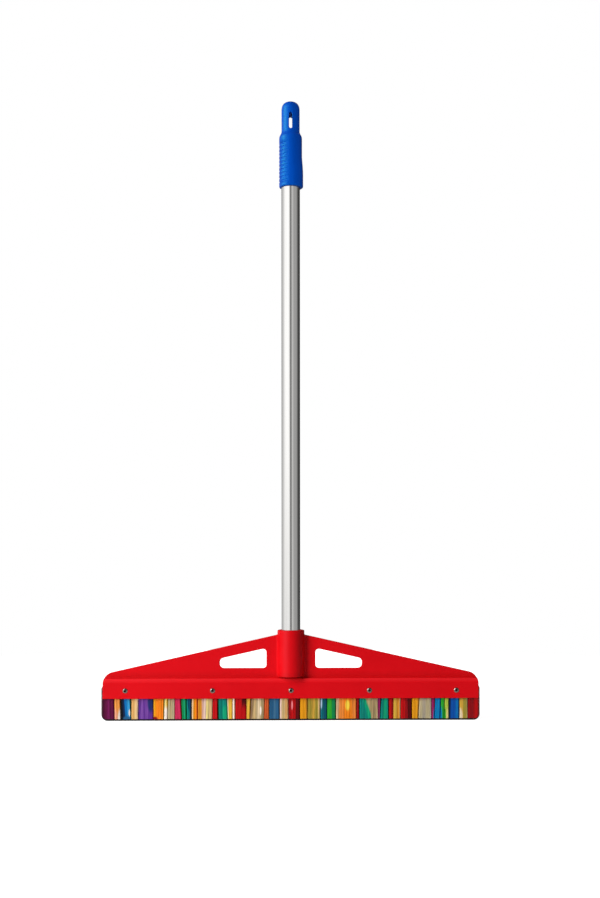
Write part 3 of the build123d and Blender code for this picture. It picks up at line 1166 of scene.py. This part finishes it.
@dataclass
class Handle:
    """The tube, its grip, and the threaded plug and washer at its foot."""

    sides: int = 128
    wall: float = 0.8 * MM
    fit: float = 0.05 * MM
    edge_radius: float = 0.2 * MM
    thread_pitch: float = 5.08 * MM
    thread_turns: float = 4.5
    thread_core: float = 7.0 * MM
    thread_crest: float = 1.88 * MM
    thread_flank: float = 14.5
    thread_sunk: float = 0.4 * MM
    thread_steps: int = 40
    plug_chamfer: float = 1.5 * MM
    plug_sides: int = 96
    rib_start: float = 9.2 * MM
    rib_pitch: float = 6.0 * MM
    rib_count: int = 11
    rib_groove: float = 1.8 * MM
    rib_shift: float = 2.82 * MM
    rib_ring: tuple[float, float] = (20.22 * MM, 18.77 * MM)
    ring_steps: tuple[int, int] = (160, 32)

    def build(self) -> None:
        """Model the tube, the plug and the grip's ribs, and dress the washer."""
        self._tube()
        self._plug()
        self._grip()
        dress(frame["nodes"]["thrust_washer"], PALE_NYLON.material())
        log.info("thrust_washer dressed")

    def _grip(self) -> None:
        """Cut the grip's ribs on round its front, by oval rings that fade out before the middle."""
        node = frame["nodes"]["grip"]
        grip = node.copy()
        grip.data = node.data.copy()
        grip.name = "ribbed_grip"
        bpy.context.collection.objects.link(grip)
        with editing(grip):
            bpy.ops.mesh.select_all(action="SELECT")
            bpy.ops.mesh.remove_doubles(threshold=0.001 * MM)
        wide, deep = (radius + self.rib_groove for radius in self.rib_ring)
        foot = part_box("grip")[0].z + self.rib_start
        for number in range(self.rib_count):
            ring = primitive(
                "groove_ring",
                bpy.ops.mesh.primitive_torus_add,
                (1, deep / wide, 1),
                major_radius=wide,
                minor_radius=self.rib_groove,
                major_segments=self.ring_steps[0],
                minor_segments=self.ring_steps[1],
                location=(self.rib_shift, 0, foot + number * self.rib_pitch),
            )
            finish_with(grip, "BOOLEAN", operation="DIFFERENCE", object=ring)
            bpy.data.objects.remove(ring)
        smooth(grip, degrees=25)
        dress(grip, BLUE_MOULDING.material())
        install(grip, Body.HANDLE, "grip_blue", "grip")

    def _tube(self) -> None:
        """Model the tube with its wall and softened ends."""
        low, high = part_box("handle_tube")
        tube = primitive(
            "plated_tube",
            bpy.ops.mesh.primitive_cylinder_add,
            vertices=self.sides,
            radius=high.x,
            depth=high.z - low.z,
            end_fill_type="NOTHING",
            location=(0, 0, (low.z + high.z) / 2),
        )
        finish_with(tube, "SOLIDIFY", thickness=self.wall, offset=-1)
        rims = {"limit_method": "ANGLE", "angle_limit": math.radians(60)}
        finish_with(tube, "BEVEL", width=self.edge_radius, segments=2, **rims)
        smooth(tube, degrees=20)
        dress(tube, PLATED_TUBE.material())
        install(tube, Body.HANDLE, "bright_tube", "handle_tube")

    def _plug(self) -> None:
        """Model the plug in the tube's foot, with the coarse thread below it."""
        low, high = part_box("threaded_ferrule")
        flange_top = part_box("handle_tube")[0].z
        flange_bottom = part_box("thrust_washer")[1].z
        plug_radius = high.x - self.wall - self.fit
        round_off = 2 * self.edge_radius
        plug = turn(
            "threaded_plug",
            [
                (self.thread_core - self.plug_chamfer, low.z),
                (self.thread_core, low.z + self.plug_chamfer),
                (self.thread_core, flange_bottom),
                (high.x - round_off, flange_bottom),
                (high.x, flange_bottom + round_off),
                (high.x, flange_top - round_off),
                (high.x - round_off, flange_top),
                (plug_radius, flange_top),
                (plug_radius, high.z - self.plug_chamfer),
                (plug_radius - self.plug_chamfer, high.z),
            ],
            self.plug_sides,
        )
        thread = self._thread(low.z)
        finish_with(plug, "BOOLEAN", operation="UNION", object=thread)
        bpy.data.objects.remove(thread)
        smooth(plug, degrees=30)
        dress(plug, BLACK_NYLON.material())
        install(plug, Body.HANDLE, "ferrule_nylon", "threaded_ferrule")

    def _thread(self, bottom: float) -> Object:
        """Model the helical rib of a right-hand thread as a closed piece.

        Args:
            bottom: Height of the thread's lower end.

        Returns:
            The rib, sunk a little into the core.
        """
        root = self.thread_core - self.thread_sunk
        crest = self._thread_radius()
        depth = crest - root
        root_width = self.thread_crest + 2 * depth * math.tan(math.radians(self.thread_flank))
        middle = bottom + root_width / 2
        rib = primitive(
            "thread_rib",
            bpy.ops.mesh.primitive_plane_add,
            (depth, root_width, 1),
            size=1,
            rotation=UPRIGHT,
            location=((root + crest) / 2, 0, middle),
        )
        with editing(rib):
            pick(rib, "verts", lambda corners: corners[0].x > (root + crest) / 2)
            share = self.thread_crest / root_width
            bpy.ops.transform.resize(value=(1, 1, share), center_override=(0, 0, middle))
            bpy.ops.mesh.select_all(action="SELECT")
            bpy.ops.mesh.delete(type="ONLY_FACE")
        steps = round(self.thread_steps * self.thread_turns)
        finish_with(
            rib,
            "SCREW",
            angle=math.tau * self.thread_turns,
            screw_offset=self.thread_pitch * self.thread_turns,
            steps=steps,
            render_steps=steps,
        )
        with editing(rib):
            bpy.ops.mesh.select_all(action="SELECT")
            bpy.ops.mesh.fill_holes(sides=4)
            face_outwards()
        return rib

    @staticmethod
    def _thread_radius() -> float:
        """Find the thread's outer radius, which is that of the frame's plug below the washer.

        Returns:
            The radius.
        """
        mesh = frame["nodes"]["threaded_ferrule"].data
        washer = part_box("thrust_washer")[0].z
        return max(v.co.x for v in mesh.vertices if v.co.z < washer)


@dataclass(frozen=True)
class Softbox:
    """A large soft lamp that the camera doesn't see, aimed at the part's middle.

    The azimuth is counted from the front, left negative. A lamp may spare some pieces, or light some
    alone. Bright metal is spared, and mirrors the walls instead: the lamp's own image in it is too
    strong and thin to render cleanly.
    """

    name: str
    azimuth: float
    elevation: float
    size: tuple[float, float]
    power: float
    in_gloss: bool = True
    spared: tuple[str, ...] = ()
    alone: tuple[str, ...] = ()
    distance: float = 3.4

    def hang(self) -> None:
        """Add the lamp to the scene."""
        azimuth = math.radians(self.azimuth)
        elevation = math.radians(self.elevation)
        towards = Vector(
            (
                math.sin(azimuth) * math.cos(elevation),
                -math.cos(azimuth) * math.cos(elevation),
                math.sin(elevation),
            )
        )
        middle = Vector((0, 0, (cad_box[0][2] + cad_box[1][2]) / 2))
        deselect()
        bpy.ops.object.light_add(
            type="AREA",
            location=middle + towards * self.distance,
            rotation=towards.to_track_quat("Z", "Y").to_euler(),
        )
        lamp = bpy.context.object
        lamp.name = self.name
        lamp.data.shape = "RECTANGLE"
        lamp.data.size, lamp.data.size_y = self.size
        lamp.data.energy = self.power
        lamp.visible_camera = False
        lamp.visible_glossy = self.in_gloss
        if self.spared or self.alone:
            group = bpy.data.collections.new(f"{self.name}_link")
            lamp.light_linking.receiver_collection = group
            for name in self.spared or self.alone:
                group.objects.link(bpy.data.objects[name])
            for entry in group.collection_objects:
                entry.light_linking.link_state = "EXCLUDE" if self.spared else "INCLUDE"


@dataclass
class Studio:
    """The camera, the lights and the white floor and surroundings."""

    lens_mm: float = 51.2
    distance: float = 2.06
    eye_height: float = 0.297
    shift: tuple[float, float] = (0.0102, 0.097)
    aside: float = 1.0
    roll: float = 0.04
    lamps: tuple[Softbox, ...] = (
        Softbox("key", -50.0, 18.9, (1.4, 2.8), 146.0, spared=("plated_tube", "ribbed_grip")),
        Softbox("grip_key", -74.0, 18.9, (1.4, 2.8), 146.0, alone=("ribbed_grip",)),
        Softbox("grip_fill", 6.0, 10.0, (1.4, 1.4), 80.0, in_gloss=False, alone=("ribbed_grip",)),
        Softbox("back_fill", -170.0, 12.0, (1.6, 2.0), 66.0, in_gloss=False),
    )
    fill: float = 0.07
    ceiling: float = 0.12
    floor_tone: str = "#e6e6e6"
    floor_radius: float = 1.3
    floor_sides: int = 96
    floor_glow: tuple[float, float] = (0.82, 1.0)
    glow_reach: tuple[float, float] = (0.5, 1.1)
    mirrored_glow: float = 0.5
    mirror_fade: tuple[float, float] = (0.6, 1.2)
    # Walls of the studio that bright metal mirrors: azimuth from the camera, left negative, and level
    walls: tuple[tuple[float, float], ...] = (
        *((-180, 0.15), (-165, 0.15), (-150, 0.6), (-122, 0.62), (-100, 0.85), (-82, 1.05)),
        *((-24, 1.05), (-15, 0.95), (-9, 0.26), (7, 0.26), (14, 0.74), (22, 0.7), (34, 0.52)),
        *((50, 0.44), (74, 0.44), (82, 0.32), (97, 0.13), (116, 0.05), (150, 0.05), (180, 0.15)),
    )
    # What the lamp's wall adds to that above the horizon, over the same azimuths
    glare: tuple[tuple[float, float], ...] = (
        (-98, 0.0),
        (-72, 0.25),
        (-52, 0.36),
        (-26, 0.32),
        (-12, 0.0),
    )
    # Heights of a line of sight between which the glare sets in, and the walls end in the ceiling
    horizon: tuple[float, float] = (-0.07, 0.07)
    cornice: tuple[float, float] = (0.35, 0.6)

    def build(self) -> None:
        """Set the stage and the camera."""
        scene = bpy.context.scene
        scene.view_settings.view_transform = "Standard"
        self._camera(scene)
        self._world(scene)
        for lamp in self.lamps:
            lamp.hang()
        self._floor()

    def _camera(self, scene: Scene) -> None:
        """Place the camera in front, a little to the left, its picture shifted as the photo's is.

        Args:
            scene: The scene that gets it.
        """
        turn_left = math.radians(self.aside)
        deselect()
        bpy.ops.object.camera_add(
            location=(
                -self.distance * math.sin(turn_left),
                -self.distance * math.cos(turn_left),
                self.eye_height,
            ),
            rotation=(math.pi / 2, math.radians(self.roll), -turn_left),
        )
        camera = bpy.context.object
        camera.data.lens = self.lens_mm
        camera.data.shift_x, camera.data.shift_y = self.shift
        scene.camera = camera

    def _world(self, scene: Scene) -> None:
        """Surround the part with white for the eye, walls and ceiling for gloss and a weak fill.

        Args:
            scene: The scene that gets the surroundings.
        """
        world = bpy.data.worlds.new("studio")
        world.use_nodes = True
        scene.world = world
        tree = world.node_tree
        tree.nodes.clear()
        ray = add_node(tree, "LightPath").outputs
        sight = add_node(tree, "TexCoord").outputs["Generated"]
        way = add_node(tree, "SeparateXYZ", {"Vector": sight}).outputs
        front = add_node(tree, "Math", {0: way["Y"], 1: -1.0}, operation="MULTIPLY")
        azimuth = add_node(tree, "Math", {0: way["X"], 1: front}, operation="ARCTAN2")
        share = add_node(
            tree, "MapRange", {"Value": azimuth, "From Min": -math.pi, "From Max": math.pi}
        )
        walls, glare = (
            add_node(
                tree,
                "ValToRGB",
                {"Fac": share},
                [(0.5 + angle / 360, grey(level)) for angle, level in levels],
            )
            for levels in (self.walls, self.glare)
        )
        risen, above = (
            add_node(tree, "MapRange", {"Value": way["Z"], "From Min": low, "From Max": high})
            for low, high in (self.horizon, self.cornice)
        )
        bright = add_node(tree, "VectorMath", {0: glare, 1: risen, 2: walls}, operation="MULTIPLY_ADD")
        straight = {0: ray["Is Camera Ray"], 1: ray["Is Transmission Ray"]}
        seen = add_node(tree, "Math", straight, operation="MAXIMUM")
        inside = {"Factor": above, "A": bright, "B": grey(self.ceiling)}
        room = add_node(tree, "Mix", inside, data_type="RGBA")
        light = {"Factor": ray["Is Glossy Ray"], "A": grey(self.fill), "B": room}
        lit = add_node(tree, "Mix", light, data_type="RGBA")
        shown = add_node(tree, "Mix", {"Factor": seen, "A": lit, "B": grey(1.0)}, data_type="RGBA")
        sky = add_node(tree, "Background", {"Color": shown})
        add_node(tree, "OutputWorld", {"Surface": sky})

    def _floor(self) -> None:
        """Lay a white floor that keeps the part's shadow, and that gloss sees only near the part."""
        floor = primitive(
            "floor",
            bpy.ops.mesh.primitive_circle_add,
            vertices=self.floor_sides,
            radius=self.floor_radius,
            fill_type="NGON",
        )
        material, tree = new_material("white_paper")
        ray = add_node(tree, "LightPath").outputs
        place = add_node(tree, "TexCoord").outputs["Object"]
        away = add_node(tree, "VectorMath", {0: place}, operation="LENGTH")
        (near, far), (dim, full) = self.glow_reach, self.floor_glow
        rise = {"Value": away, "From Min": near, "From Max": far, "To Min": dim, "To Max": full}
        level = add_node(tree, "MapRange", rise)
        straight = {0: ray["Is Camera Ray"], 1: ray["Is Transmission Ray"]}
        seen = add_node(tree, "Math", straight, operation="MAXIMUM")
        white = add_node(tree, "Math", {0: seen, 1: level}, operation="MULTIPLY")
        mirrored = {0: ray["Is Glossy Ray"], 1: self.mirrored_glow, 2: white}
        glow = add_node(tree, "Math", mirrored, operation="MULTIPLY_ADD")
        paper = add_node(tree, "BsdfDiffuse", {"Color": linear(self.floor_tone)})
        light = add_node(tree, "Emission", {"Strength": glow})
        near, far = self.mirror_fade
        fade = {"Value": away, "From Min": near, "From Max": far}
        distant = add_node(tree, "MapRange", fade, interpolation_type="SMOOTHSTEP")
        gone = add_node(tree, "Math", {0: ray["Is Glossy Ray"], 1: distant}, operation="MULTIPLY")
        both = add_node(tree, "AddShader", {0: paper, 1: light})
        sheet = add_node(tree, "MixShader", {0: gone, 1: both, 2: add_node(tree, "BsdfTransparent")})
        add_node(tree, "OutputMaterial", {"Surface": sheet})
        dress(floor, material)


def main() -> None:
    """Build every sub-assembly and the stage."""
    logging.basicConfig(level=logging.INFO, format="%(name)s: %(message)s")
    for part in (Head(), Blade(), StripRow(), Rivets(), Handle(), Studio()):
        part.build()


if __name__ == "__main__":
    main()
